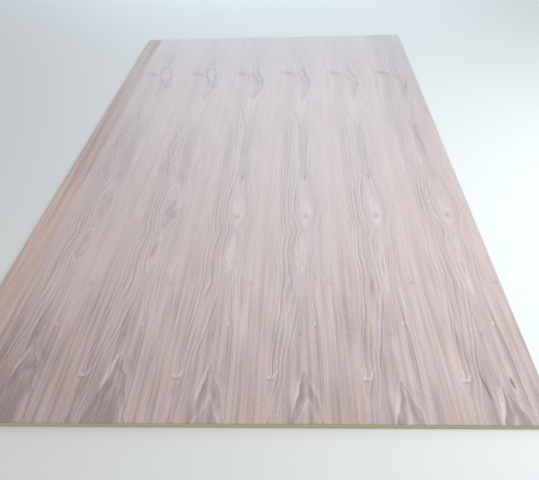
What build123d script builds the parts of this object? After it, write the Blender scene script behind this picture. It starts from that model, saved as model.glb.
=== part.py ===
from build123d import *
import os

# Veneered MDF board, lying flat with its decorative face up.
# Origin: centre of the underside. X across the board, Y along the grain, Z up.
# All lengths are in millimetres.

# Sheet, as sawn to its final size
board_width = 1220.0
board_length = 2440.0

# Layers, from the bottom up
back_veneer_thickness = 0.3
core_thickness = 9.0
face_veneer_thickness = 0.3

# Decorative face: leaves of one flitch laid side by side along the grain.
# The two outermost leaves are trimmed with the board. The whole ones between them are all as wide.
left_leaf_width = 62.0
right_leaf_width = 173.0
whole_leaves = 5

left_edge = -board_width / 2
right_edge = board_width / 2
first_joint = left_edge + left_leaf_width
last_joint = right_edge - right_leaf_width
leaf_width = (last_joint - first_joint) / whole_leaves

# Levels of the two glue lines and of the decorative face
core_bottom = back_veneer_thickness
core_top = core_bottom + core_thickness
face_top = core_top + face_veneer_thickness


def sheet(x_left, x_right, z_bottom, z_top):
    """A flat sheet over the board's whole length, between two long edges and two levels."""
    width = x_right - x_left
    thickness = z_top - z_bottom
    place = Pos((x_left + x_right) / 2, 0, z_bottom)
    return place * Box(
        width,
        board_length,
        thickness,
        align=(Align.CENTER, Align.CENTER, Align.MIN),
    )


def leaf_edges():
    """Places across the board of every edge of a leaf: the long edges and the joints between."""
    joints = [first_joint + number * leaf_width for number in range(whole_leaves + 1)]
    return [left_edge] + joints + [right_edge]


def board_pieces():
    """Every physical piece of the board, by its name."""
    pieces = {
        "back_veneer": sheet(left_edge, right_edge, 0, core_bottom),
        "mdf_core": sheet(left_edge, right_edge, core_bottom, core_top),
    }
    edges = leaf_edges()
    for number, (leaf_left, leaf_right) in enumerate(zip(edges[:-1], edges[1:]), start=1):
        pieces[f"face_leaf_{number}"] = sheet(leaf_left, leaf_right, core_top, face_top)
    return pieces


os.makedirs("parts", exist_ok=True)
for name, piece in board_pieces().items():
    export_step(piece, f"parts/{name}.step")
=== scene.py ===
import math
import bpy
import numpy as np
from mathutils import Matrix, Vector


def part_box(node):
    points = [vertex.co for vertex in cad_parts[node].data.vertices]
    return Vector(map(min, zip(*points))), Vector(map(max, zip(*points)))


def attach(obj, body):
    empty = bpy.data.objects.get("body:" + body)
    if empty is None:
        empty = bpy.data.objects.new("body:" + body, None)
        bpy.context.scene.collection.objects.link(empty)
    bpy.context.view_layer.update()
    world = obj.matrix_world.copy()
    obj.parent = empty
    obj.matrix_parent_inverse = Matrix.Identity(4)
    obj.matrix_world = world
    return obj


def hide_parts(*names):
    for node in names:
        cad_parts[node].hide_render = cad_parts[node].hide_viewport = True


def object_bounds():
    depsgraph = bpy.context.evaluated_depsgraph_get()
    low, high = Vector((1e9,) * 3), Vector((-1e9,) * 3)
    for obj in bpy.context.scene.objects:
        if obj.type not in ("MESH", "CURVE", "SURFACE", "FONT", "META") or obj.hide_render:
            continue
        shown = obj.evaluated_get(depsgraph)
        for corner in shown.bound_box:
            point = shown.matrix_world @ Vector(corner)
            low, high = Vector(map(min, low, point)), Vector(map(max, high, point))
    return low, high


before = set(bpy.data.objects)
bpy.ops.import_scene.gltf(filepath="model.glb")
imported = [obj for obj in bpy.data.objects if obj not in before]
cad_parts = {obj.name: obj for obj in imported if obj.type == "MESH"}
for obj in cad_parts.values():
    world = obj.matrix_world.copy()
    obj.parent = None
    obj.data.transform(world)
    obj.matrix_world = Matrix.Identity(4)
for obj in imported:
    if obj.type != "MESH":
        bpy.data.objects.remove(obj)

# A veneered board lying flat, decorative face up. Metres, X across, Y along the grain, Z up.
cadLow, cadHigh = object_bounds()
boardLeft, boardNear = cadLow.x, cadLow.y
faceLevel = cadHigh.z
print("frame loaded, board", [round(c, 4) for c in cadHigh - cadLow])


# Small helpers

def linear(red, green, blue):
    # a colour as a screen shows it, 0 to 255, as the linear colour that shaders take
    shown = np.array([red, green, blue]) / 255
    return tuple(np.where(shown < 0.04045, shown / 12.92, ((shown + 0.055) / 1.055) ** 2.4)) + (1,)


def hill(x, centre, reach):
    # 1 at the centre, falling off on both sides as a bell
    return np.exp(-((x - centre) / reach) ** 2)


def rise(x, start, end):
    # 0 before start, 1 after end, an S between them
    t = np.clip((x - start) / (end - start), 0, 1)
    return t * t * (3 - 2 * t)


def fall(x, start, end):
    # 1 before start, 0 after end
    return 1 - rise(x, start, end)


def curveThrough(points, x):
    # a smooth curve through given points: cubic pieces whose slopes come from their neighbours
    px, py = np.array(sorted(points)).T
    slope = np.gradient(py, px)
    i = np.clip(np.searchsorted(px, x) - 1, 0, len(px) - 2)
    width = px[i + 1] - px[i]
    t = np.clip((x - px[i]) / width, 0, 1)
    ends = (1 + 2 * t) * (1 - t) ** 2 * py[i] + t * t * (3 - 2 * t) * py[i + 1]
    return ends + width * (t * (1 - t) ** 2 * slope[i] + t * t * (t - 1) * slope[i + 1])


def ripple(x, y, sizeX, sizeY, seed, depth=0, waves=14):
    # soft noise: the mean of plane waves with random lengths, headings and phases.
    # depth slides the phases, so that neighbouring slices of a log differ a little
    draw = np.random.default_rng(seed)
    total = np.zeros_like(x)
    for wave in range(waves):
        heading = draw.uniform(0, 2 * math.pi)
        stretch = draw.uniform(0.6, 1.7)
        phase = draw.uniform(0, 2 * math.pi) + depth * draw.uniform(-1, 1)
        across = math.cos(heading) * stretch / sizeX
        along = math.sin(heading) * stretch / sizeY
        total += np.sin(2 * math.pi * (across * x + along * y) + phase)
    return total / math.sqrt(waves / 2)


def eitherSide(isLeft, left, right, x):
    # one curve on the left and another on the right
    return np.where(isLeft, curveThrough(left, x), curveThrough(right, x))


def ripples(x, y, rows, leaf=0):
    # the sum of ripples: strength, size across and along, seed, and where it varies, its change by leaf
    return sum(strength * ripple(x, y, sizeX, sizeY, seed, leaf * sum(change))
               for strength, sizeX, sizeY, seed, *change in rows)


# The log: its growth rings meet the slicing knife as thin lines beside the heart and as islands on it.
# Six leaves in a row come from one place in it, so the same islands show on each, a little changed

flitch = {
    "heartWander": [  # metres from the near end, sideways shift of the heart line
        (0, 0), (0.6, 0), (0.7, 0.003), (0.98, 0.003), (1.2, 0.001), (1.64, 0.001), (1.75, 0.008),
        (1.82, 0.01), (1.93, 0), (2.2, -0.004), (2.44, -0.004)],
    "rimLeft": [  # metres from the near end, half width of the plain wood round the heart
        (0, 0.052), (0.05, 0.047), (0.1, 0.04), (0.15, 0.034), (0.2, 0.028), (0.25, 0.021),
        (0.3, 0.015), (0.36, 0.01), (0.48, 0.006), (0.53, 0.01), (0.58, 0.014), (0.63, 0.014),
        (0.68, 0.011), (0.72, 0.017), (0.77, 0.024), (0.82, 0.027), (0.88, 0.024), (0.94, 0.016),
        (1, 0.011), (1.1, 0.015), (1.4, 0.018), (1.6, 0.026), (1.8, 0.03), (2, 0.036), (2.1, 0.03),
        (2.2, 0.014), (2.27, 0.002), (2.44, 0)],
    "rimRight": [
        (0, 0.03), (0.1, 0.029), (0.2, 0.028), (0.25, 0.027), (0.3, 0.024), (0.36, 0.017), (0.42, 0.01),
        (0.48, 0.006), (0.53, 0.01), (0.58, 0.014), (0.63, 0.014), (0.68, 0.013), (0.72, 0.018),
        (0.77, 0.026), (0.82, 0.027), (0.88, 0.023), (0.94, 0.017), (1, 0.012), (1.1, 0.015),
        (1.4, 0.016), (1.6, 0.022), (1.7, 0.034), (1.8, 0.044), (1.93, 0.036), (2.05, 0.028),
        (2.15, 0.016), (2.24, 0.002), (2.44, 0)],
    "spacingLeft": 0.0132, "spacingRight": 0.009,  # metres from line to line
    "countLeft": 207.75, "countRight": 243.75,  # of rings at the rim
    "straighten": 0.08,  # metres from the rim over which the lines straighten
    # soft noise in the lines and in the shade: strength, size across and along, seed, change by leaf
    "ruffle": [(0.18, 0.1, 0.6, 61, 0.5), (0.08, 0.045, 0.17, 62, 0.6), (0.03, 0.02, 0.06, 63, 0.8)],
    "clouds": [(0.1, 0.07, 0.9, 21, 0.6), (0.1, 0.025, 0.5, 22, 0.8)],
    "clarity": [  # metres from the near end, how strong the figure is; its fading towards the far end is partly the wood's own and partly a painted veil of reflected light
        (0, 1.2), (0.3, 1.2), (0.42, 1), (0.6, 0.86), (0.8, 0.82), (1, 0.9), (1.4, 0.88),
        (1.6, 0.76), (1.9, 0.85), (2.1, 0.66), (2.44, 0.45)],
    "acrossShade": [  # metres from the heart line, light and dark across a leaf
        (-0.1, 0.2), (-0.092, 0.22), (-0.078, 0.16), (-0.073, 0.02), (-0.068, -0.3), (-0.062, -0.2),
        (-0.054, -0.12), (-0.04, -0.1), (-0.025, 0.02), (-0.01, 0.08), (0.005, -0.02), (0.015, -0.02),
        (0.03, 0.12), (0.045, 0.2), (0.057, 0.22), (0.068, 0.16), (0.08, 0.14), (0.098, 0.1)],
    "farShade": [  # the same, for the far end
        (-0.1, 0.26), (-0.083, 0.16), (-0.071, -0.1), (-0.05, -0.16), (-0.03, -0.1), (-0.015, -0.14),
        (0.01, -0.14), (0.03, -0.1), (0.04, 0), (0.05, 0.16), (0.07, 0.22), (0.098, 0.24)],
    "flankShade": [0.24, 0.16, 0.58, 0.82, 0.62, 0.1],  # pale wood left of the cathedral
    "firstHeart": 0.098,  # heart line, from a leaf's left edge
    "heartShift": [0, 0.001, 0.001, -0.001, -0.002, -0.001],  # how far each leaf's lies from that
}

# Islands. tops: where each starts, metres from the near end, leaf by leaf. left, right, and ends for both:
# metres down from there, half width. size: width of each leaf's island. tone: dark below 0, pale above.
# rim: how pale the wood just outside is. edge: how dark the wood just inside is

cathedral = {
    "tops": [0.236, 0.2, 0.163, 0.146, 0.117, 0.105], "axis": -0.002, "size": 1,
    "ends": [(-0.1, -0.024), (0, 0)],
    "left": [(0.03, 0.005), (0.065, 0.01), (0.1, 0.018), (0.13, 0.024), (0.17, 0.034), (0.25, 0.054)],
    "right": [(0.02, 0.006), (0.05, 0.013), (0.08, 0.025), (0.11, 0.03), (0.15, 0.038), (0.25, 0.05)],
    "tone": [-0.16, -0.19, -0.16, -0.21, -0.29, -0.32], "rimLeft": [0.24, 0.33, 0.28, 0.27, 0.29, 0.36],
    "rimRight": 0.06, "edge": [0.1, 0.18, 0.13, 0.11, 0.11, 0.13],
    "reach": 0.36,  # metres from the near end, past its top
    "flank": [  # metres down from its top, how pale the wood left of it is
        (-0.1, 0), (-0.01, 0.1), (0.01, 0.5), (0.04, 1), (0.08, 1), (0.105, 0.5), (0.13, 0.1),
        (0.25, 0.1)],
}
innerCathedral = {
    "tops": [0.14, 0.1, 0.066, 0.056, 0.03, 0.022], "axis": 0.006, "size": 1,
    "ends": [(-0.1, -0.05), (0, 0)],
    "left": [(0.03, 0.009), (0.05, 0.019), (0.08, 0.03), (0.15, 0.042)],
    "right": [(0.03, 0.009), (0.05, 0.016), (0.1, 0.028), (0.15, 0.036)],
    "tone": [-0.05, -0.16, -0.12, -0.08, 0.08, -0.08], "rim": [0.12, 0.14, 0.22, 0.24, 0.28, 0.3],
}
smallIsland = {
    "tops": [0.7, 0.655, 0.645, 0.65, 0.6, 0.6], "axis": [-0.002, 0, 0.006, -0.005, 0.004, 0.004],
    "size": [1, 0.5, 0.58, 0.46, 0.15, 0.15],
    "ends": [(-0.1, -0.08), (0, 0), (0.16, 0), (0.26, -0.08)],
    "left": [(0.03, 0.008), (0.06, 0.019), (0.09, 0.021), (0.12, 0.013)],
    "right": [(0.02, 0.006), (0.06, 0.015), (0.09, 0.018), (0.12, 0.013)],
    "tone": [-0.17, 0.12, 0.26, 0.2, -0.14, -0.14], "rimLeft": 0.22, "rimRight": 0.22, "edge": 0.1,
}
middleIsland = {
    "tops": [0.925, 0.868, 0.875, 0.87, 0.865, 0.86], "axis": [-0.003, 0.002, 0.003, 0.001, 0.002, 0],
    "size": [1.05, 1, 0.95, 0.8, 0.85, 0.7],
    "ends": [(-0.1, -0.06), (0, 0), (0.172, 0), (0.27, -0.06)],
    "left": [(0.025, 0.011), (0.06, 0.014), (0.1, 0.012), (0.14, 0.008)],
    "right": [(0.025, 0.009), (0.06, 0.016), (0.1, 0.02), (0.14, 0.014)],
    "tone": [-0.2, -0.26, 0.19, 0.18, 0.21, 0.14], "rimLeft": 0.1, "rimRight": 0.1, "edge": 0.08,
}
farIsland = {
    "tops": [2.236, 2.192, 2.18, 2.16, 2.168, 2.146], "axis": 0,
    "size": [1, 0.85, 0.75, 0.75, 0.7, 0.7],
    "ends": [(-0.1, -0.05), (0, 0), (0.575, 0), (0.67, -0.05)],
    "left": [(0.06, 0.013), (0.13, 0.026), (0.18, 0.031), (0.25, 0.03), (0.35, 0.022), (0.45, 0.022),
             (0.51, 0.018), (0.55, 0.009)],
    "right": [(0.06, 0.013), (0.13, 0.022), (0.23, 0.031), (0.3, 0.034), (0.38, 0.04), (0.43, 0.038),
              (0.49, 0.03), (0.54, 0.017)],
    "tone": [-0.13, -0.13, -0.11, -0.1, -0.09, -0.09], "rimLeft": 0.24, "rimRight": 0.2, "edge": 0.05,
}
farEye = {
    "tops": [2.018, 2, 1.975, 1.985, 1.96, 1.95], "axis": [0.002, 0.002, 0.016, 0.02, 0.01, 0.012],
    "size": [1, 0.62, 0.18, 0.16, 0.1, 0.1],
    "ends": [(-0.1, -0.15), (0, 0), (0.165, 0), (0.27, -0.15)],
    "left": [(0.03, 0.014), (0.08, 0.02), (0.13, 0.014)],
    "right": [(0.03, 0.012), (0.08, 0.02), (0.13, 0.019)],
    "tone": [0.06, 0.06, 0.05, 0.05, 0.04, 0.04], "rim": 0,
}
tongue = {
    "tops": 1.6, "axis": -0.003, "size": [0.8, 0.9, 1, 1, 0.9, 0.7],
    "ends": [(-0.1, -0.06), (-0.03, 0), (0.2, 0), (0.3, -0.06)],
    "left": [(0, 0.024), (0.08, 0.021), (0.13, 0.014), (0.17, 0.007)],
    "right": [(0, 0.022), (0.08, 0.017), (0.13, 0.011), (0.17, 0.006)],
    "tone": [0.03, 0.05, 0.08, 0.08, 0.06, 0.04], "rimLeft": 0, "rimRight": 0, "edge": -0.1,
}

# Strokes drawn one by one: the leaves that they are on, how pale (or dark, below 0), half width in metres,
# and their course as metres from the near end and metres from the heart line
strokes = [
    ([1, 2, 3, 4, 5], 0.42, 0.0026, [
        (0.124, -0.0625), (0.16, -0.06), (0.22, -0.058), (0.3, -0.057), (0.38, -0.056)]),
    ([3], -0.75, 0.0026, [
        (0.45, 0.036), (0.47, 0.028), (0.505, 0.008), (0.55, -0.018), (0.58, -0.031), (0.62, -0.034)]),
    ([1], -1.25, 0.0078, [(0.55, -0.0055), (0.6, -0.0035), (0.635, -0.002)]),
    ([2], -0.6, 0.0024, [(0.5, 0.006), (0.53, -0.004), (0.57, -0.014), (0.62, -0.016), (0.69, -0.012)]),
    ([2], -0.6, 0.0024, [(0.5, 0.008), (0.53, 0.012), (0.58, 0.017), (0.63, 0.016), (0.7, 0.01)]),
    ([2, 3, 4], -0.46, 0.0026, [
        (0.7, -0.024), (0.78, -0.028), (0.86, -0.026), (0.93, -0.017), (1.04, -0.01)]),
    ([2, 3, 4], -0.58, 0.0028, [(0.7, 0.022), (0.78, 0.029), (0.86, 0.026), (0.93, 0.018), (1.04, 0.012)]),
    ([2, 3, 4], 0.34, 0.003, [(0.72, 0.029), (0.78, 0.035), (0.86, 0.032), (0.93, 0.025), (1, 0.02)]),
    ([1, 2, 3], -0.45, 0.0022, [(0.68, 0.04), (0.8, 0.044), (0.9, 0.036), (0.98, 0.026), (1.05, 0.024)]),
    ([0, 1], 0.55, 0.003, [(0.86, 0.022), (0.9, 0.016), (0.935, 0.004), (0.95, -0.006)]),
    ([0, 1], 0.55, 0.003, [(0.87, -0.024), (0.91, -0.02), (0.935, -0.012), (0.95, -0.004)]),
    ([3], 0.6, 0.0035, [(2.01, -0.014), (2.06, 0), (2.11, 0.012), (2.16, 0.024)]),
    ([0, 2, 3, 4], -0.5, 0.0028, [(1.39, -0.005), (1.45, -0.018), (1.52, -0.026), (1.62, -0.03)]),
    ([1, 2, 3, 5], -0.5, 0.0028, [(1.39, 0.003), (1.45, 0.011), (1.52, 0.017), (1.62, 0.022)]),
    ([1, 2, 3, 5], 0.4, 0.0028, [(1.02, -0.017), (1.12, -0.018), (1.24, -0.021), (1.36, -0.017)]),
    ([2, 3, 4], 0.5, 0.0028, [(1.02, 0.012), (1.14, 0.014), (1.22, 0.019), (1.3, 0.026), (1.37, 0.022)]),
    ([2, 3, 4], -0.5, 0.003, [(0.98, 0.006), (1.1, 0.008), (1.2, 0.012), (1.28, 0.019), (1.34, 0.016)]),
    ([1, 4], -0.6, 0.0026, [(1, -0.018), (1.15, -0.021), (1.25, -0.024), (1.38, -0.02)]),
    ([5], -0.8, 0.004, [(1.12, 0.002), (1.22, 0.004), (1.3, 0), (1.38, 0.006)]),
    ([2, 4, 5], 0.55, 0.003, [(1.76, 0.01), (1.8, 0.012), (1.86, 0.01)]),
    ([2], -0.7, 0.006, [(1.8, 0.006), (1.86, 0), (1.92, -0.012), (1.96, -0.018)]),
    ([2, 3], -0.8, 0.007, [(1.8, 0.02), (1.86, 0.022), (1.92, 0.012), (1.97, 0.006)]),
    ([3, 4], -0.8, 0.004, [(1.86, 0.018), (1.9, 0.014), (1.94, 0.008), (1.97, 0.002)]),
    ([4, 5], -0.6, 0.005, [(1.7, 0.004), (1.73, 0.01), (1.78, 0.02), (1.86, 0.024)]),
]
allSix, firstTwo, lastFour = range(6), range(2), range(2, 6)

# Soft spots drawn one by one, by what they change: the leaves that they are on, how strong, centre and
# reach across from the heart line, centre and reach along from the near end, and some lean, metres per
# metre
spots = {
    "lines": [  # they bend the growth lines
        (allSix, 1.1, -0.108, 0.05, 1.955, 0.085),  # branch beside the far eye
        (allSix, 0.6, -0.074, 0.014, 0.13, 0.026),  # curl at the near end
        (allSix, 0.6, 0.026, 0.01, 0.29, 0.024),  # pin knot right of the heart
    ],
    "shade": [  # pale above 0, dark below
        (allSix, 0.6, -0.0955, 0.0022, 0.3, 0.15),  # pale line just after the joint
        (allSix, -0.5, -0.069, 0.007, 0.088, 0.022),  # grey plume under the curl
        (lastFour, -1.4, 0.004, 0.009, 0.752, 0.014),  # dark foot of the middle lens
        (lastFour, -0.3, 0.004, 0.006, 0.985, 0.035),  # dark streak over it
        (firstTwo, -0.4, 0.005, 0.006, 0.99, 0.04),  # dark streak over the middle island
        (firstTwo, -0.3, -0.012, 0.008, 0.84, 0.014),  # dark patches below its middle
        (firstTwo, -0.45, 0, 0.006, 0.76, 0.012),
        ([4], 0.3, 0, 0.014, 0.22, 0.04),  # pale wood over one peak
        ([5], -0.45, -0.045, 0.011, 0.02, 0.04),  # dark left foot of the last arch
    ],
    "smudge": [  # faint dark blots
        (allSix, 0.8, 0.066, 0.006, 0.441, 0.008),
        (allSix, 0.7, -0.008, 0.003, 0.254, 0.007),
    ],
    "pins": [  # pin knots
        (allSix, 1, 0.025, 0.005, 0.292, 0.014),
        (allSix, 0.8, 0.052, 0.013, 0.456, 0.007),
    ],
    "dash": [  # dark dashes along the grain
        ([2, 3, 4], 0.9, 0.002, 0.0026, 0.982, 0.02),
        (allSix, 0.7, 0.056, 0.003, 0.8, 0.007),
        ([5], 1.8, 0.019, 0.0028, 0.108, 0.015, 0.1),
        ([5], 1.2, -0.036, 0.003, 0.1, 0.045, 0.12),
    ],
    "warmth": [  # warmer above 0
        (allSix, 1.5, -0.09, 0.005, 0.27, 0.13),  # warm line just after the joint
    ],
}

outerIslands = [cathedral, smallIsland, middleIsland, farIsland, tongue]
innerIslands = [innerCathedral, farEye]

leafGrid = {"across": 0.002, "along": 0.004}  # cell size of a leaf's surface
backGrid = {"across": 0.01, "along": 0.02}
jointGroove = {"depth": 0.00003, "reach": 0.0003}  # the eased long edge of a leaf


def ofLeaf(setting, leaf):
    # a setting is one number for every leaf, or a list with one for each
    return setting[leaf] if isinstance(setting, list) else setting


def insideIsland(s, v, shape, leaf):
    # metres inside the edge of an island, less than 0 outside: its half width at this place, which
    # follows a smooth curve down from its top, less the distance from its axis
    axis = ofLeaf(shape["axis"], leaf)
    down = ofLeaf(shape["tops"], leaf) - v
    half = eitherSide(s < axis, shape["ends"] + shape["left"], shape["ends"] + shape["right"], down)
    return half * ofLeaf(shape["size"], leaf) - np.abs(s - axis)


def nearestIsland(s, v, shapes, leaf, keys):
    # the island whose edge is nearest, and its own settings there
    levels = np.stack([insideIsland(s, v, shape, leaf) for shape in shapes])
    which = levels.argmax(0)
    rows = [[ofLeaf(shape[key], leaf) for shape in shapes] for key in keys]
    return levels.max(0), [np.array(row)[which] for row in rows]


def softSpots(s, v, leaf, kind):
    # the sum of the spots of one kind: each is a bell across, which may lean, times a bell along
    total = np.zeros_like(s)
    for leaves, strength, across, acrossReach, along, alongReach, *lean in spots[kind]:
        if leaf in leaves:
            middle = across + sum(lean) * (along - v)
            total += strength * hill(s, middle, acrossReach) * hill(v, along, alongReach)
    return total


def lineHeight(s, v, leaf):
    # thin lines beside the heart that bend out round its islands: the distance from the plain wood's rim,
    # over the line spacing. Soft noise ruffles them
    rim = eitherSide(s < 0, flitch["rimLeft"], flitch["rimRight"], v)
    pastRim = np.abs(s) - rim
    away = np.abs(s) - rim * np.exp(-(np.maximum(pastRim, 0) / flitch["straighten"]) ** 2)
    lines = np.where(s < 0, flitch["countLeft"] + away / flitch["spacingLeft"],
                     flitch["countRight"] + away / flitch["spacingRight"])
    lines += 0.13 * np.sin(1.9 * lines) + 0.04 * np.sin(4.1 * lines + leaf)  # uneven seasons
    lines += ripples(s, v, flitch["ruffle"], leaf) + softSpots(s, v, leaf, "lines")
    return lines, pastRim


def strokeShade(s, v, leaf):
    # the strokes: a bell across each course, that comes and goes over three centimetres at its ends
    shade = np.zeros_like(s)
    for leaves, strength, reach, course in strokes:
        if leaf in leaves:
            start, end = course[0][0], course[-1][0]
            ends = rise(v, start - 0.01, start + 0.02) * fall(v, end - 0.02, end + 0.01)
            shade += strength * hill(s, curveThrough(course, v), reach) * ends
    return shade


def farFigureShade(s, v, leaf):
    # dark dash beside the far eye, that sweeps down to the heart as a power of the distance across
    top = 1.972 - 0.007 * leaf
    t = np.clip((s + 0.1) / 0.1, 0, 1)
    sweep = top - 0.02 - 0.09 * t ** 3.5
    reach = 0.022 - 0.01 * rise(s, -0.06, -0.01)
    shade = -(0.45 + 0.85 * hill(s, -0.056, 0.02)) * hill(v, sweep, reach) * rise(-s, 0, 0.02)
    shade -= 0.16 * rise(-s, 0.02, 0.04) * rise(v, 1.6, 1.75) * fall(v, top - 0.05, top - 0.02)
    # the second arch over the far eye, the pool under it, and pale arches, which are parabolas over s
    pool = hill(s, 0.02 - 0.002 * leaf, 0.016) * hill(v, 1.8 - 0.004 * leaf, 0.036)
    shade += 0.45 * hill(v, 1.628 + 9 * s ** 2, 0.01) * hill(s, 0, 0.016)
    if leaf < 3:
        shade += 0.5 * hill(v, 2.052 - 0.02 * leaf - 0.4 * (s + 0.02), 0.01) * hill(s, -0.008, 0.026)
    if leaf in firstTwo:
        shade += 0.45 * hill(v, 1.752 + 6 * (s - 0.01) ** 2, 0.007) * hill(s, 0.01, 0.016)
        return shade - 0.5 * pool
    shade -= 0.35 * hill(s, 0.004, 0.014) * hill(v, 1.7 - 0.004 * leaf, 0.04)
    shade -= 0.34 * hill(s, -0.002, 0.02) * hill(v, 1.88 - 0.006 * leaf, 0.045)  # pool beside the dash
    return shade - 0.4 * pool


def broadShade(s, v, leaf):
    # the light and dark that isn't in the islands or lines: positive is pale
    far = rise(v, 1.4, 1.8)
    shade = (1 - far) * curveThrough(flitch["acrossShade"], s) + far * curveThrough(flitch["farShade"], s)
    shade += strokeShade(s, v, leaf) + softSpots(s, v, leaf, "shade") + farFigureShade(s, v, leaf)
    shade -= 0.45 * rise(s, 0.084, 0.092) * hill(v, 0.46, 0.2)  # a dark line just before the joint
    shade -= 0.24 * hill(s, 0.055, 0.015) * fall(v, 0.38, 0.6)  # and a dark band left of it
    shade += 0.2 * fall(v, 0.3, 0.8) * ripple(s, v, 0.016, 0.4, 26, 0.8 * leaf)
    shade += 0.14 * fall(v, 0.1, 0.26) * ripple(s, v, 0.042, 0.45, 27, 0.6 * leaf)
    shade += ripples(s, v, flitch["clouds"], leaf)
    column = rise(v, 0.95, 1.02) * fall(v, 1.34, 1.44)
    shade -= 0.42 * fall(np.abs(s), 0.012, 0.018) * column  # dark heart column
    top = cathedral["tops"][leaf]
    shade -= 0.36 * hill(s, 0.004 + 0.5 * (top - v), 0.007) * hill(v, top - 0.035, 0.026)  # under the peak
    shade += flitch["flankShade"][leaf] * hill(s, -0.029, 0.0085) * hill(v, 0.078, 0.036)
    shade -= 0.34 * fall(v, 0.2, 0.5) + 0.26 * rise(v, 1.5, 2.2)  # painted shade: both ends are darker
    patchy = rise(v, 0.95, 1.05) * fall(v, 1.35, 1.5) * (leaf in firstTwo)
    shade += patchy * rise(-s, 0, 0.02) * (-0.08 + 0.18 * ripple(s, v, 0.02, 0.045, 24, leaf))
    return shade


def paintedLightAndShade(x, v):
    # slow changes over the whole face, painted shade and light that copy how unevenly the light fell on it:
    # each is an S or a bell across times one along
    across = x - boardLeft
    shade = -0.6 * fall(v, 0.15, 0.55) * fall(across, 0.1, 0.5)  # painted shade in the near left corner
    shade += 0.32 * hill(v, 0.7, 0.34) * fall(across, 0.14, 0.42)  # painted light, paler further up that side
    shade -= 0.05 * fall(v, 1.1, 1.6) * fall(across, 0.45, 0.7)
    shade -= 0.22 * fall(v, 0.32, 0.6) * hill(across, 0.85, 0.09)  # painted shade, a band at the near end
    shade -= 0.22 * fall(v, 0.15, 0.38) * rise(across, 1.02, 1.12)  # painted shade in the near right corner
    shade -= 0.18 * rise(v, 0.6, 0.9) * rise(across, 0.9, 1)  # painted shade down the right side, and its far part
    return shade - 0.34 * rise(v, 1.1, 1.4) * rise(across, 1.02, 1.14)


def lineContrast(s, v, pastRim, leaf):
    # how clearly the lines show: on both flanks of the heart, past the rim, most on the left
    left = rise(-s, 0, 0.008) * fall(-s, 0.068, 0.082) * (1 - 0.35 * rise(v, 0.95, 1.2))
    right = rise(s, 0, 0.006) * fall(s, 0.036, 0.054) * (0.4 if leaf == 0 else 1)
    lined = 0.24 + (0.82 * left + 0.52 * right) * rise(pastRim, -0.001, 0.001)
    lined *= (1 - 0.4 * rise(v, 1.05, 1.5)) * (0.8 + 0.2 * rise(v, 0.08, 0.28))
    return lined * (0.92 + 0.3 * hill(v, 0.78, 0.2) + 0.25 * ripple(s, v, 0.05, 0.3, 32, leaf))


def buildLeafField(x, v, leftEdge, leaf):
    # all that a figured leaf carries: s is metres from its wandering heart line, v from the near end, and
    # clarity fades the figure where the leaf is quiet and, towards the far end, as a painted veil of
    # reflected light
    heart = leftEdge + flitch["firstHeart"] + flitch["heartShift"][leaf]
    s = x - heart - curveThrough(flitch["heartWander"], v)
    lines, pastRim = lineHeight(s, v, leaf)
    clarity = curveThrough(flitch["clarity"], v)
    lined = lineContrast(s, v, pastRim, leaf) * clarity
    # islands, their edges ruffled by soft noise
    ruffle = 0.0009 + 0.0042 * hill(v, 0.8, 0.13) * (leaf in firstTwo) + 0.002 * hill(v, 1.75, 0.15)
    sway = ruffle * ripple(s, v, 0.022, 0.05, 71, 0.7 * leaf)
    outer, (outerTone, rimLeft, rimRight, edge) = nearestIsland(
        s + sway, v, outerIslands, leaf, ("tone", "rimLeft", "rimRight", "edge"))
    inner, (innerTone, innerRim) = nearestIsland(s + sway, v, innerIslands, leaf, ("tone", "rim"))
    flank = curveThrough(cathedral["flank"], cathedral["tops"][leaf] - v)
    rim = np.where(s < 0, rimLeft * np.where(v < cathedral["reach"], flank, 1), rimRight)
    edge = edge * np.where(s < 0, 0.5, 1)
    ring = rise(inner, -0.018, -0.006) * (v > 1.2) * (1 if leaf in firstTwo else 0.3)
    outerTone = outerTone * (1 + 0.3 * ripple(s, v, 0.02, 0.07, 72, leaf)) - 0.14 * ring
    shade = broadShade(s, v, leaf) - softSpots(s, v, leaf, "smudge")
    # warm beside the joints, cooler at the heart
    warmth = rise(-s, 0.06, 0.08) + rise(s, 0.05, 0.09) - 0.7 * hill(s, -0.005, 0.04)
    warmth = warmth * (1 - 0.5 * rise(v, 1.2, 1.7)) + softSpots(s, v, leaf, "warmth")
    warmth += 1.2 * rise(outer, -0.001, 0.002) * (outerTone > 0.1)  # the pale lenses are creamy
    warmth += 0.7 * fall(x - boardLeft, 0.45, 0.75) * fall(v, 0.9, 1.3)
    faded = {"rim": rim, "outerTone": outerTone, "innerTone": innerTone, "innerRim": innerRim, "edge": edge}
    return dict({part: values * clarity for part, values in faded.items()}, outer=outer, inner=inner,
                lines=lines, shade=clarity * shade + paintedLightAndShade(x, v), fromHeart=s, clarity=clarity,
                lined=np.clip(lined, 0, 1.3), warmth=warmth, pins=softSpots(s, v, leaf, "pins"),
                dash=softSpots(s, v, leaf, "dash"))


# Straight wood. bend and shade: strength, size across and along, seed

edgeSheet = {
    "firstLine": 80, "spacing": 0.0042, "lined": 0.8,
    "bend": [(0.7, 0.1, 0.7, 41), (0.2, 0.03, 0.2, 42)],
    "shade": [(0.25, 0.03, 0.9, 43), (0.15, 0.012, 0.5, 44)],
}
backSheet = {  # rings that run almost level, so its figure is wide and quiet
    "firstLine": 160, "spacing": 0.011, "lined": 0.5,
    "bend": [(0.9, 0.35, 1.6, 51), (0.3, 0.1, 0.6, 52)],
    "shade": [(0.22, 0.25, 1.3, 53), (0.12, 0.05, 0.8, 54)],
}


def straightFigure(x, v, sheet):
    # wood without a heart: the ring count is x over the line spacing, bent by soft noise
    flat = np.ones_like(x)
    return dict(outer=-flat, inner=-flat, fromHeart=flat, clarity=flat, lined=sheet["lined"] * flat,
                lines=sheet["firstLine"] + x / sheet["spacing"] + ripples(x, v, sheet["bend"]),
                shade=ripples(x, v, sheet["shade"]))


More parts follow.
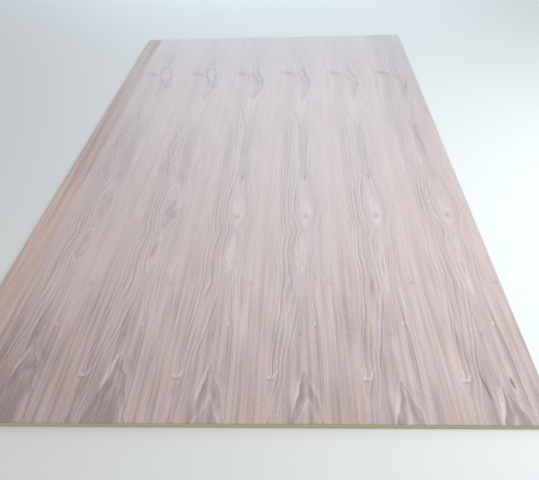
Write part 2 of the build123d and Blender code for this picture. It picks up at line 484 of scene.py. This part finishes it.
def buildEdgeLeafField(x, v):
    # rings that stand nearly upright, pale in the near half and dark towards the far end
    figure = straightFigure(x - boardLeft, v, edgeSheet)
    figure["shade"] += 0.75 * hill(v, 0.65, 0.35) - 0.55 * rise(v, 0.85, 1.15)
    figure["shade"] += 0.2 * hill(v, 1.5, 0.2) - 0.45 * rise(v, 1.9, 2.3) - 0.35 * rise(v, 2.22, 2.36)
    return figure


def steps(low, high, size):
    # even steps of about this size
    return np.linspace(low, high, max(2, round((high - low) / size)) + 1)


def sheetMesh(name, low, high, cell, shown):
    # a thin closed sheet: one grid for the side that shows, a wall down each edge and one flat face
    # for the glued side. shown is 1 for a sheet seen from above and -1 for one seen from below.
    # Each long edge is eased, deepest at the joint
    reach = jointGroove["reach"]
    eased = [low[0] + reach, high[0] - reach]
    columns = np.unique(np.concatenate([steps(low[0], high[0], cell["across"]), eased]))
    x, y = np.meshgrid(columns, steps(low[1], high[1], cell["along"]))
    near = np.minimum(x - low[0], high[0] - x)
    ease = jointGroove["depth"] * np.clip(1 - near / reach, 0, 1)
    level, back = (high[2], low[2]) if shown > 0 else (low[2], high[2])
    grid = np.arange(x.size).reshape(x.shape)
    rim = np.concatenate([grid[0, :-1], grid[:-1, -1], grid[-1, :0:-1], grid[:0:-1, 0]])
    places = np.stack([x, y, level - shown * ease], -1).reshape(-1, 3)
    under = places[rim].copy()
    under[:, 2] = back
    underRim = len(places) + np.arange(len(rim))
    quads = np.stack([grid[:-1, :-1], grid[:-1, 1:], grid[1:, 1:], grid[1:, :-1]], -1).reshape(-1, 4)
    walls = np.stack([np.roll(rim, -1), rim, underRim, np.roll(underRim, -1)], 1)
    glued = underRim[::-1]
    if shown < 0:
        quads, walls, glued = quads[:, ::-1], walls[:, ::-1], glued[::-1]
    points = np.concatenate([places, under])
    faces = quads.tolist() + walls.tolist() + [glued.tolist()]
    mesh = bpy.data.meshes.new(name)
    mesh.from_pydata(points.tolist(), [], faces, shade_flat=False)
    mesh.validate()
    corners = points[np.concatenate([quads.ravel(), walls.ravel(), glued])]
    bakeMap(mesh, corners, low, high, quads.size, walls.size)
    return mesh, points


bakeLayout = {"left": 0.02, "width": 0.94, "near": 0.01, "length": 0.98, "bandLeft": 0.97,
              "bandWidth": 0.012, "wallShift": 0.014}


def bakeMap(mesh, corners, low, high, shownCount, wallCount):
    # a flat map for the export: the shown side takes nearly all of it, beside narrow bands for the glued
    # side and the walls. The corners are those of the shown side, the walls and the glued side, in turn
    u = (corners[:, 0] - low[0]) / (high[0] - low[0])
    v = (corners[:, 1] - low[1]) / (high[1] - low[1])
    mapU = bakeLayout["left"] + bakeLayout["width"] * u
    mapV = bakeLayout["near"] + bakeLayout["length"] * v
    mapU[shownCount:] = bakeLayout["bandLeft"] + bakeLayout["bandWidth"] * u[shownCount:]
    mapU[shownCount:shownCount + wallCount] += bakeLayout["wallShift"]
    layer = mesh.uv_layers.new(name="OFBake")
    layer.data.foreach_set("uv", np.stack([mapU, mapV], 1).astype(np.float32).ravel())


def store(mesh, name, values):
    # one number, or three, for each vertex
    kind, field = ("FLOAT", "value") if values.ndim == 1 else ("FLOAT_VECTOR", "vector")
    attribute = mesh.attributes.new(name, kind, "POINT")
    attribute.data.foreach_set(field, values.astype(np.float32).ravel())


def addObject(name, data):
    thing = bpy.data.objects.new(name, data)
    bpy.context.scene.collection.objects.link(thing)
    return thing


# Node helpers

class Nodes:
    # adds nodes to a tree and links them, so that a material reads from top to bottom
    def __init__(self, tree):
        self.tree = tree

    def add(self, kind, settings=None, **inputs):
        node = self.tree.nodes.new(kind)
        for key, value in (settings or {}).items():
            setattr(node, key, value)
        for key, value in inputs.items():
            self.put(node.inputs[key.replace("_", " ")], value)
        return node

    def put(self, socket, value):
        if isinstance(value, bpy.types.NodeSocket):
            self.tree.links.new(value, socket)
        else:
            socket.default_value = value

    def math(self, operation, first, second=0, third=0, clamp=False):
        node = self.add("ShaderNodeMath", {"operation": operation, "use_clamp": clamp})
        for socket, value in zip(node.inputs, (first, second, third)):
            self.put(socket, value)
        return node.outputs[0]

    def times(self, first, second):
        return self.math("MULTIPLY", first, second)

    def plus(self, first, second):
        return self.math("ADD", first, second)

    def less(self, first, second):
        return self.math("SUBTRACT", first, second)

    def total(self, start, *parts):
        # start and the parts, each of which is a value and its strength
        for value, strength in parts:
            start = self.plus(start, self.times(value, strength))
        return start

    def centred(self, value, strength):
        # noise from 0 to 1 as a push to either side
        return self.times(self.less(value, 0.5), strength)

    def spread(self, value, fromLow, fromHigh, toLow=0, toHigh=1, smooth=True):
        kind = {"interpolation_type": "SMOOTHSTEP" if smooth else "LINEAR"}
        return self.add("ShaderNodeMapRange", kind, Value=value, From_Min=fromLow, From_Max=fromHigh,
                        To_Min=toLow, To_Max=toHigh).outputs[0]

    def fall(self, value, start, end):
        # 1 before start, 0 after end
        return self.spread(value, start, end, 1, 0)

    def mix(self, share, first, second, blend="MIX"):
        node = self.add("ShaderNodeMix", {"data_type": "RGBA", "blend_type": blend})
        for socket, value in ((0, share), (6, first), (7, second)):
            self.put(node.inputs[socket], value)
        return node.outputs[2]

    def tinted(self, share, colour, tint):
        return self.mix(share, colour, self.mix(1, colour, tint, "MULTIPLY"))

    def where(self):
        return self.add("ShaderNodeTexCoord").outputs["Object"]

    def axes(self, vector):
        return self.add("ShaderNodeSeparateXYZ", Vector=vector).outputs

    def scaled(self, vector, scale):
        return self.add("ShaderNodeMapping", Vector=vector, Scale=scale).outputs[0]

    def noise(self, vector, scale, detail=2, roughness=0.5):
        return self.add("ShaderNodeTexNoise", Vector=self.scaled(vector, scale), Scale=1, Detail=detail,
                        Roughness=roughness).outputs[0]

    def noiseAlong(self, value, scale, detail=1, roughness=0.5):
        return self.add("ShaderNodeTexNoise", {"noise_dimensions": "1D"}, W=value, Scale=scale,
                        Detail=detail, Roughness=roughness).outputs[0]

    def group(self, tree, **inputs):
        # a group placed in a material, with its values
        return self.add("ShaderNodeGroup", {"node_tree": tree}, **inputs).outputs


def newGroup(name, inputs, outputs):
    # a node group with named sockets. An input without a number takes a place, all else are numbers
    tree = bpy.data.node_groups.new(name, "ShaderNodeTree")
    for label, value in inputs.items():
        kind = "NodeSocketVector" if value is None else "NodeSocketFloat"
        socket = tree.interface.new_socket(label, in_out="INPUT", socket_type=kind)
        if value is not None:
            socket.default_value = value
    for label in outputs:
        tree.interface.new_socket(label, in_out="OUTPUT", socket_type="NodeSocketFloat")
    source = tree.nodes.new("NodeGroupInput")
    sink = tree.nodes.new("NodeGroupOutput")
    return tree, Nodes(tree), source.outputs, sink.inputs


# Growth rings: thin lines where the count passes a whole number, some strong and some faint. Metres

lineLook = {
    "unit": 0.011, "thin": 0.0052, "thick": 0.0084, "faintest": 0.25,
    "wobble": 0.0022, "ragged": 0.001,  # sideways, in long and in short waves
    "sharpSide": 0.0022, "glintStart": 0.0006, "glintEnd": 0.0042,
}


def makeRingGroup():
    tree, n, given, out = newGroup("growthRings", {"Lines": 0, "Place": None},
                                   ("Tone", "Fine", "Line", "Glint", "Pore Zone", "Shift"))
    shift = n.plus(n.centred(n.noise(given["Place"], (60, 8, 1)), lineLook["wobble"]),
                   n.centred(n.noise(given["Place"], (420, 40, 1)), lineLook["ragged"]))
    n.put(out["Shift"], shift)
    unit = lineLook["unit"]
    lines = n.plus(given["Lines"], n.math("DIVIDE", shift, unit))
    phase = n.math("FRACT", lines)
    luck = n.add("ShaderNodeTexWhiteNoise", {"noise_dimensions": "1D"}, W=n.math("FLOOR", lines)).outputs[0]
    # metres to the next line, and from the last one
    before = n.times(n.less(1, phase), unit)
    after = n.times(phase, unit)
    # a line swells and thins along its course
    swell = n.noise(given["Place"], (60, 5, 1), 1)
    width = n.spread(swell, 0.3, 0.7, lineLook["thin"], lineLook["thick"])
    strength = n.spread(luck, 0, 1, lineLook["faintest"], 1, smooth=False)
    strength = n.times(strength, n.spread(swell, 0.3, 0.58, 0.55, 1))
    edge = n.times(n.fall(before, n.times(width, 0.2), width), n.spread(after, 0, lineLook["sharpSide"]))
    n.put(out["Line"], n.times(edge, strength))
    n.put(out["Glint"], n.times(n.fall(after, lineLook["glintStart"], lineLook["glintEnd"]), strength))
    n.put(out["Tone"], n.noiseAlong(lines, 0.31, 1))
    n.put(out["Fine"], n.noiseAlong(lines, 2.1, 3, 0.6))
    n.put(out["Pore Zone"], n.spread(phase, 0.05, 0.75, 1, 0.25))
    return tree


# Islands of the figure: crisp edges where the two levels pass 0, a pale rim outside and a dark one inside

rimLook = {"pale": 0.0105, "innerPale": 0.0095, "dark": 0.006, "crisp": 0.0007}


def makeIslandGroup():
    tree, n, given, out = newGroup(
        "figureIslands",
        {"Outer": -1, "Inner": -1, "Rim": 0, "Outer Tone": 0, "Inner Tone": 0, "Inner Rim": 0,
         "Edge": 0, "Shift": 0},
        ("Tone", "Inside"))
    crisp = rimLook["crisp"]
    outer = n.plus(given["Outer"], given["Shift"])
    inner = n.plus(given["Inner"], given["Shift"])
    inOuter = n.spread(outer, -crisp, crisp)
    inInner = n.spread(inner, -crisp, crisp)
    dark = n.times(n.fall(outer, 0, rimLook["dark"]), given["Edge"])
    body = n.times(inOuter, n.less(given["Outer Tone"], dark))
    # the paler the rim, the wider it is
    reach = n.times(n.math("MULTIPLY", given["Rim"], 3, clamp=True), -rimLook["pale"])
    pale = n.times(n.spread(outer, reach, n.times(reach, 0.6)), given["Rim"])
    body = n.plus(body, n.times(n.less(1, inOuter), pale))
    innerPale = n.times(n.spread(inner, -rimLook["innerPale"], -0.0006), given["Inner Rim"])
    body = n.plus(body, innerPale)
    stay = n.times(n.less(1, inInner), body)
    n.put(out["Tone"], n.plus(stay, n.times(inInner, given["Inner Tone"])))
    n.put(out["Inside"], inOuter)
    return tree


# Open pores: short dark dashes along the grain. dashes, streaks and specks: how many to a metre

poreLook = {
    "dashes": (1250, 95, 1), "streaks": (520, 9, 1), "specks": (480, 60, 1),
    "width": 0.34, "bend": 0.01,
}


def makePoreGroup():
    tree, n, given, out = newGroup("openPores", {"Place": None, "Amount": 1}, ("Mask", "Streak", "Speck"))
    drift = n.times(n.noise(given["Place"], (9, 2.2, 1), 1), poreLook["bend"])
    bent = n.add("ShaderNodeVectorMath", {"operation": "ADD"})
    n.put(bent.inputs[0], given["Place"])
    n.put(bent.inputs[1], n.add("ShaderNodeCombineXYZ", X=drift).outputs[0])
    bent = bent.outputs[0]
    cells = n.add("ShaderNodeTexVoronoi", {"voronoi_dimensions": "2D"},
                  Vector=n.scaled(bent, poreLook["dashes"]), Scale=1).outputs["Distance"]
    width = n.times(given["Amount"], poreLook["width"])
    # a cell's middle is a pore, as far as its width
    beyond = n.spread(cells, n.times(width, 0.5), width)
    n.put(out["Mask"], n.less(n.math("LESS_THAN", cells, 1), beyond))
    n.put(out["Streak"], n.noise(bent, poreLook["streaks"], 3, 0.6))
    n.put(out["Speck"], n.noise(bent, poreLook["specks"], 2, 0.6))
    return tree


# A curl in the grain beside a covered knot: a pale J, its right arm the taller, with a dark one under it
# and a dark dot in its hook. The line rises by its steepness times the distance across, squared. Metres

curl = {
    "fromHeart": -0.069, "lowest": 0.1218, "fall": 0.0178, "leftSteep": 55, "rightSteep": 110,
    "thick": 0.0034, "wobble": 0.009, "dotAcross": -0.0105, "dotHeight": 0.0004,
}


def makeCurlGroup():
    tree, n, given, out = newGroup("grainCurl", {"Across": 0, "Along": 0, "Place": None},
                                   ("Bright", "Dark"))
    thick = curl["thick"]
    across = n.less(given["Across"], curl["fromHeart"])
    fall = n.times(n.axes(given["Place"])[0], curl["fall"])
    along = n.plus(n.less(given["Along"], curl["lowest"]), fall)
    steep = n.spread(across, -0.002, 0.002, curl["leftSteep"], curl["rightSteep"])
    height = n.less(along, n.times(n.times(across, across), steep))
    height = n.plus(height, n.centred(n.noise(given["Place"], (160, 110, 1)), curl["wobble"]))
    # over the line's slope, so that its arms are no thicker than its foot
    slope = n.plus(n.times(n.math("ABSOLUTE", across), 100), 1)
    height = n.math("DIVIDE", height, slope)
    ends = n.times(n.spread(across, -0.013, -0.006), n.fall(along, 0.012, 0.06))
    pale = n.times(n.spread(height, -thick, thick * 0.3), n.fall(height, thick * 0.3, thick * 1.6))
    n.put(out["Bright"], n.times(pale, ends))
    shadow = n.times(n.spread(height, -thick * 3, -thick * 1.4),
                     n.fall(height, -thick * 1.4, -thick * 0.4))
    shadow = n.times(n.times(shadow, ends), n.fall(across, 0.004, 0.01))
    dotAcross = n.math("ABSOLUTE", n.less(across, curl["dotAcross"]))
    dotHeight = n.math("ABSOLUTE", n.less(height, curl["dotHeight"]))
    dot = n.times(n.fall(dotAcross, 0.001, 0.0055), n.fall(dotHeight, 0, 0.0016))
    n.put(out["Dark"], n.math("MAXIMUM", shadow, dot))
    return tree


# Handling: faint dust and scuffs

def makeHandlingGroup():
    tree, n, given, out = newGroup("handling", {"Place": None}, ("Dust", "Scuff"))
    n.put(out["Dust"], n.spread(n.noise(given["Place"], (3.1, 2.3, 3), 4, 0.6), 0.42, 0.75))
    n.put(out["Scuff"], n.spread(n.noise(given["Place"], (14, 40, 14), 3, 0.65), 0.6, 0.78))
    return tree


ringGroup, islandGroup, poreGroup = makeRingGroup(), makeIslandGroup(), makePoreGroup()
curlGroup, handlingGroup = makeCurlGroup(), makeHandlingGroup()


def startMaterial(name):
    # an empty material with its shader
    material = bpy.data.materials.new(name)
    material.use_nodes = True
    material.node_tree.nodes.clear()
    n = Nodes(material.node_tree)
    shader = n.add("ShaderNodeBsdfPrincipled")
    n.add("ShaderNodeOutputMaterial", Surface=shader.outputs[0])
    return material, n, shader


walnutLook = {
    "pale": linear(219, 201, 198),
    "middle": linear(196, 174, 170),
    "dark": linear(158, 137, 134),
    "line": linear(128, 104, 100),
    "pore": linear(112, 88, 82),
    "dust": linear(214, 208, 206),
    "jointTint": (1.015, 0.998, 0.98, 1), "heartTint": (0.985, 1, 1, 1),
    "hues": [  # soft patterns with two tints each: beige to violet, and pink to grey
        ((62, 7, 1), (1.01, 1, 0.94, 1), (0.99, 0.98, 1.03, 1)),
        ((48, 10, 1), (1.03, 0.97, 0.99, 1), (0.98, 1.01, 0.99, 1))],
    "hueStrength": 0.83, "middleTone": 0.58, "shadeStrength": 0.34,
    "ringTone": 0.18, "islandStrength": 1, "lineStrength": 0.46, "glintStrength": 0.25,
    "fineStrength": 0.26, "streakStrength": 0.34, "speckStrength": 0.1, "poreStrength": 0.44,
    "curlBright": 0.4, "curlDark": 0.32, "hairline": 0.0004, "hairStrength": 0.22, "dustStrength": 0.1,
    "roughness": 0.46,
}
edgeLeafLook = dict(
    walnutLook,
    pale=linear(217, 190, 179), middle=linear(195, 167, 157), dark=linear(160, 131, 117),
    line=linear(122, 94, 82))
backLook = dict(
    walnutLook,
    pale=linear(206, 178, 150), middle=linear(190, 160, 134), dark=linear(166, 134, 110),
    line=linear(140, 108, 86), pore=linear(120, 88, 68),
    ringTone=0.25, lineStrength=0.18, glintStrength=0.1, roughness=0.52)


def makeVeneer(name, look):
    material, n, shader = startMaterial(name)
    where = n.where()

    def threeOf(attribute):
        return n.axes(n.add("ShaderNodeAttribute", {"attribute_name": attribute}).outputs["Vector"])

    lines, shade, fromHeart = threeOf("figure")
    outer, inner, rim = threeOf("islands")
    outerTone, innerTone, innerRim = threeOf("islandTones")
    lined, warmth, fromJoint = threeOf("tint")
    pins, dash, clarity = threeOf("marks")
    edge = n.add("ShaderNodeAttribute", {"attribute_name": "edge"}).outputs["Fac"]
    rings = n.group(ringGroup, Lines=lines, Place=where)
    islands = n.group(islandGroup, Outer=outer, Inner=inner, Rim=rim, Outer_Tone=outerTone,
                      Inner_Tone=innerTone, Inner_Rim=innerRim, Edge=edge, Shift=rings["Shift"])
    pores = n.group(poreGroup, Place=where, Amount=rings["Pore Zone"])
    handling = n.group(handlingGroup, Place=where)
    curled = n.group(curlGroup, Across=fromHeart, Along=n.less(n.axes(where)[1], boardNear), Place=where)
    # tone from 0, dark, to 1, pale
    grain = n.centred(rings["Tone"], look["ringTone"] * 2)
    grain = n.plus(grain, n.centred(pores["Streak"], look["streakStrength"] * 2))
    grain = n.plus(grain, n.centred(pores["Speck"], look["speckStrength"] * 2))
    fine = n.centred(rings["Fine"], look["fineStrength"] * 2)
    fine = n.total(fine, (rings["Glint"], look["glintStrength"]))
    tone = n.total(look["middleTone"], (grain, clarity), (islands["Tone"], look["islandStrength"]),
                   (shade, look["shadeStrength"]), (fine, lined), (curled["Bright"], look["curlBright"]),
                   (curled["Dark"], -look["curlDark"]))
    colour = n.mix(n.spread(tone, 0, 0.5, smooth=False), look["dark"], look["middle"])
    colour = n.mix(n.spread(tone, 0.5, 1, smooth=False), colour, look["pale"])
    colour = n.tinted(n.math("MAXIMUM", warmth, 0), colour, look["jointTint"])
    colour = n.tinted(n.math("MAXIMUM", n.times(warmth, -1), 0), colour, look["heartTint"])
    for size, warmer, cooler in look["hues"]:
        hue = n.noise(where, size, 3)
        for start, end, tint in ((0.48, 0.7, warmer), (0.52, 0.3, cooler)):
            share = n.times(n.spread(hue, start, end), n.times(clarity, look["hueStrength"]))
            colour = n.tinted(share, colour, tint)
    # over it come the lines, outside the islands, the pores, the pin knots, pale with a dark rim, the dark
    # dashes, the hairline at the joint and the dust
    line = n.times(n.times(rings["Line"], lined), n.less(1, islands["Inside"]))
    pinRim = n.times(n.spread(pins, 0.15, 0.45), n.fall(pins, 0.5, 0.75))
    hair = n.fall(fromJoint, 0, look["hairline"])
    for mask, strength, layer in (
            (line, look["lineStrength"], "line"), (pores["Mask"], look["poreStrength"], "pore"),
            (pinRim, 0.1, "line"), (n.spread(pins, 0.45, 0.95), 0.6, "pale"),
            (n.spread(dash, 0.25, 0.9), 0.9, "line"), (hair, look["hairStrength"], "line"),
            (handling["Dust"], look["dustStrength"], "dust")):
        colour = n.mix(n.times(mask, strength), colour, look[layer])
    n.put(shader.inputs["Base Color"], colour)
    n.put(shader.inputs["Roughness"], n.total(look["roughness"], (rings["Tone"], 0.08),
                                              (handling["Scuff"], -0.05), (pores["Mask"], 0.12)))
    relief = n.total(0, (pores["Mask"], -0.00006), (rings["Line"], 0.00002), (pores["Streak"], 0.00003))
    bump = n.add("ShaderNodeBump", Strength=0.5, Distance=1, Height=relief)  # relief in metres
    n.put(shader.inputs["Normal"], bump.outputs[0])
    return material


walnut = makeVeneer("walnutVeneer", walnutLook)
edgeWalnut = makeVeneer("edgeLeafVeneer", edgeLeafLook)
backVeneer = makeVeneer("backVeneer", backLook)


# What the materials read from a leaf's vertices, three numbers to an attribute. What a leaf lacks is 0

leafAttributes = {
    "figure": ("lines", "shade", "fromHeart"),
    "islands": ("outer", "inner", "rim"),
    "islandTones": ("outerTone", "innerTone", "innerRim"),
    "tint": ("lined", "warmth", "fromJoint"),
    "marks": ("pins", "dash", "clarity"),
}


def dressLeaf(name, node, material, fields, cell, shown=1):
    # a sheet in place of the node's plain solid, as large, with its figure stored on its vertices
    low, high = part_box(node)
    mesh, points = sheetMesh(name, low, high, cell, shown)
    x, y = points.T[:2]
    figure = fields(x, y - boardNear)
    figure["fromJoint"] = np.minimum(x - low[0], high[0] - x)
    for attribute, parts in leafAttributes.items():
        store(mesh, attribute, np.stack([figure.get(part, 0 * x) for part in parts], 1))
    store(mesh, "edge", figure.get("edge", 0 * x))
    mesh.materials.append(material)
    piece = addObject(name, mesh)
    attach(piece, "root")
    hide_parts(node)


leafNodes = sorted(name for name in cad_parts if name.startswith("face_leaf"))
dressLeaf("edgeLeaf", leafNodes[0], edgeWalnut, buildEdgeLeafField, leafGrid)
for order, node in enumerate(leafNodes[1:]):
    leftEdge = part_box(node)[0].x
    dressLeaf(f"figuredLeaf{order + 1}", node, walnut,
              lambda x, v: buildLeafField(x, v, leftEdge, order), leafGrid)
print("face leaves laid", len(leafNodes))

dressLeaf("backSheet", "back_veneer", backVeneer,
          lambda x, v: straightFigure(x, v, backSheet), backGrid, shown=-1)
print("back veneer laid")


# Core: greenish fibreboard, denser towards both faces

coreLook = {
    "dense": linear(146, 146, 118),
    "open": linear(176, 176, 149),
    "fibreDark": linear(128, 126, 98),
    "fibrePale": linear(204, 203, 180),
    "fibres": (420, 420, 2600), "relief": 0.00012,  # to a metre, and metres
}


def makeCore():
    material, n, shader = startMaterial("fibreboardEdge")
    where = n.where()
    low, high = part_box("mdf_core")
    depth = n.spread(n.axes(where)[2], low.z, high.z, -1, 1, smooth=False)
    dense = n.spread(n.math("ABSOLUTE", depth), 0.45, 1)
    fibres = n.noise(where, coreLook["fibres"], 4, 0.65)
    colour = n.mix(dense, coreLook["open"], coreLook["dense"])
    colour = n.mix(n.spread(fibres, 0.56, 0.75, 0, 0.6), colour, coreLook["fibreDark"])
    colour = n.mix(n.spread(fibres, 0.44, 0.28, 0, 0.5), colour, coreLook["fibrePale"])
    n.put(shader.inputs["Base Color"], colour)
    n.put(shader.inputs["Roughness"], n.spread(fibres, 0.3, 0.7, 0.78, 0.92))
    bump = n.add("ShaderNodeBump", Strength=0.6, Distance=1, Height=n.times(fibres, coreLook["relief"]))
    n.put(shader.inputs["Normal"], bump.outputs[0])
    return material


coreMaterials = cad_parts["mdf_core"].data.materials
coreMaterials.clear()
coreMaterials.append(makeCore())
print("core dressed")


# Floor, light and camera

studio = {
    "floor": linear(222, 221, 218), "floorPale": linear(226, 225, 223), "floorRoughness": 0.7,
    "floorHalf": 30,
    "world": (1, 0.89, 0.92, 1), "worldStrength": 0.37,
}
lamps = {  # place, what it faces, size, watts and colour
    "keyLamp": ((1.8, -0.8, 1.7), (0, 0, 0), (1.6, 1.6), 54, (0.86, 0.98, 1)),
    "sheenLamp": ((-0.1, 4.4, 1.9), (0, 1, 0), (3.6, 3.4), 131, (0.66, 0.88, 1)),
    "fillLamp": ((0.5, -5, 0.9), (0, boardNear, 0), (4, 1.4), 58, (1, 0.95, 0.89)),
}
photoView = {
    "frameWidth": 539, "focalPixels": 673.1,
    "place": (0.136, -0.8695, 0.9925),  # right of the middle, before the near end, over the face
    "turn": (0.98713, 0.03295, 0.03629),
}

floorMaterial, n, floorShader = startMaterial("studioFloor")
floorColour = n.mix(n.noise(n.where(), (0.7, 0.7, 0.7)), studio["floor"], studio["floorPale"])
n.put(floorShader.inputs["Base Color"], floorColour)
floorShader.inputs["Roughness"].default_value = studio["floorRoughness"]
floorMesh = bpy.data.meshes.new("studioFloor")
half = studio["floorHalf"]
floorMesh.from_pydata([(-half, -half, 0), (half, -half, 0), (half, half, 0), (-half, half, 0)], [],
                      [(0, 1, 2, 3)])
floor = addObject("studioFloor", floorMesh)
floorMesh.materials.append(floorMaterial)

world = bpy.data.worlds.new("studioSky")
bpy.context.scene.world = world
world.use_nodes = True
sky = world.node_tree.nodes["Background"].inputs
sky["Color"].default_value = studio["world"]
sky["Strength"].default_value = studio["worldStrength"]

# each lamp is a soft rectangle of light at its spot, turned to face its target
for lampName, (spot, target, size, watts, colour) in lamps.items():
    lamp = bpy.data.lights.new(lampName, "AREA")
    lamp.color = colour
    lamp.shape = "RECTANGLE"
    lamp.size, lamp.size_y = size
    lamp.energy = watts
    holder = addObject(lampName, lamp)
    holder.location = spot
    aim = np.array(target) - np.array(spot)
    flat = math.hypot(aim[0], aim[1])
    holder.rotation_euler = (math.atan2(flat, -aim[2]), 0, math.atan2(-aim[0], aim[1]))

cameraData = bpy.data.cameras.new("photoCamera")
cameraData.sensor_width = 36
cameraData.lens = photoView["focalPixels"] / photoView["frameWidth"] * cameraData.sensor_width
camera = addObject("photoCamera", cameraData)
right, before, over = photoView["place"]
camera.location = (right, boardNear + before, faceLevel + over)
camera.rotation_euler = photoView["turn"]
bpy.context.scene.camera = camera
bpy.context.scene.view_settings.view_transform = "Standard"
print("studio set")
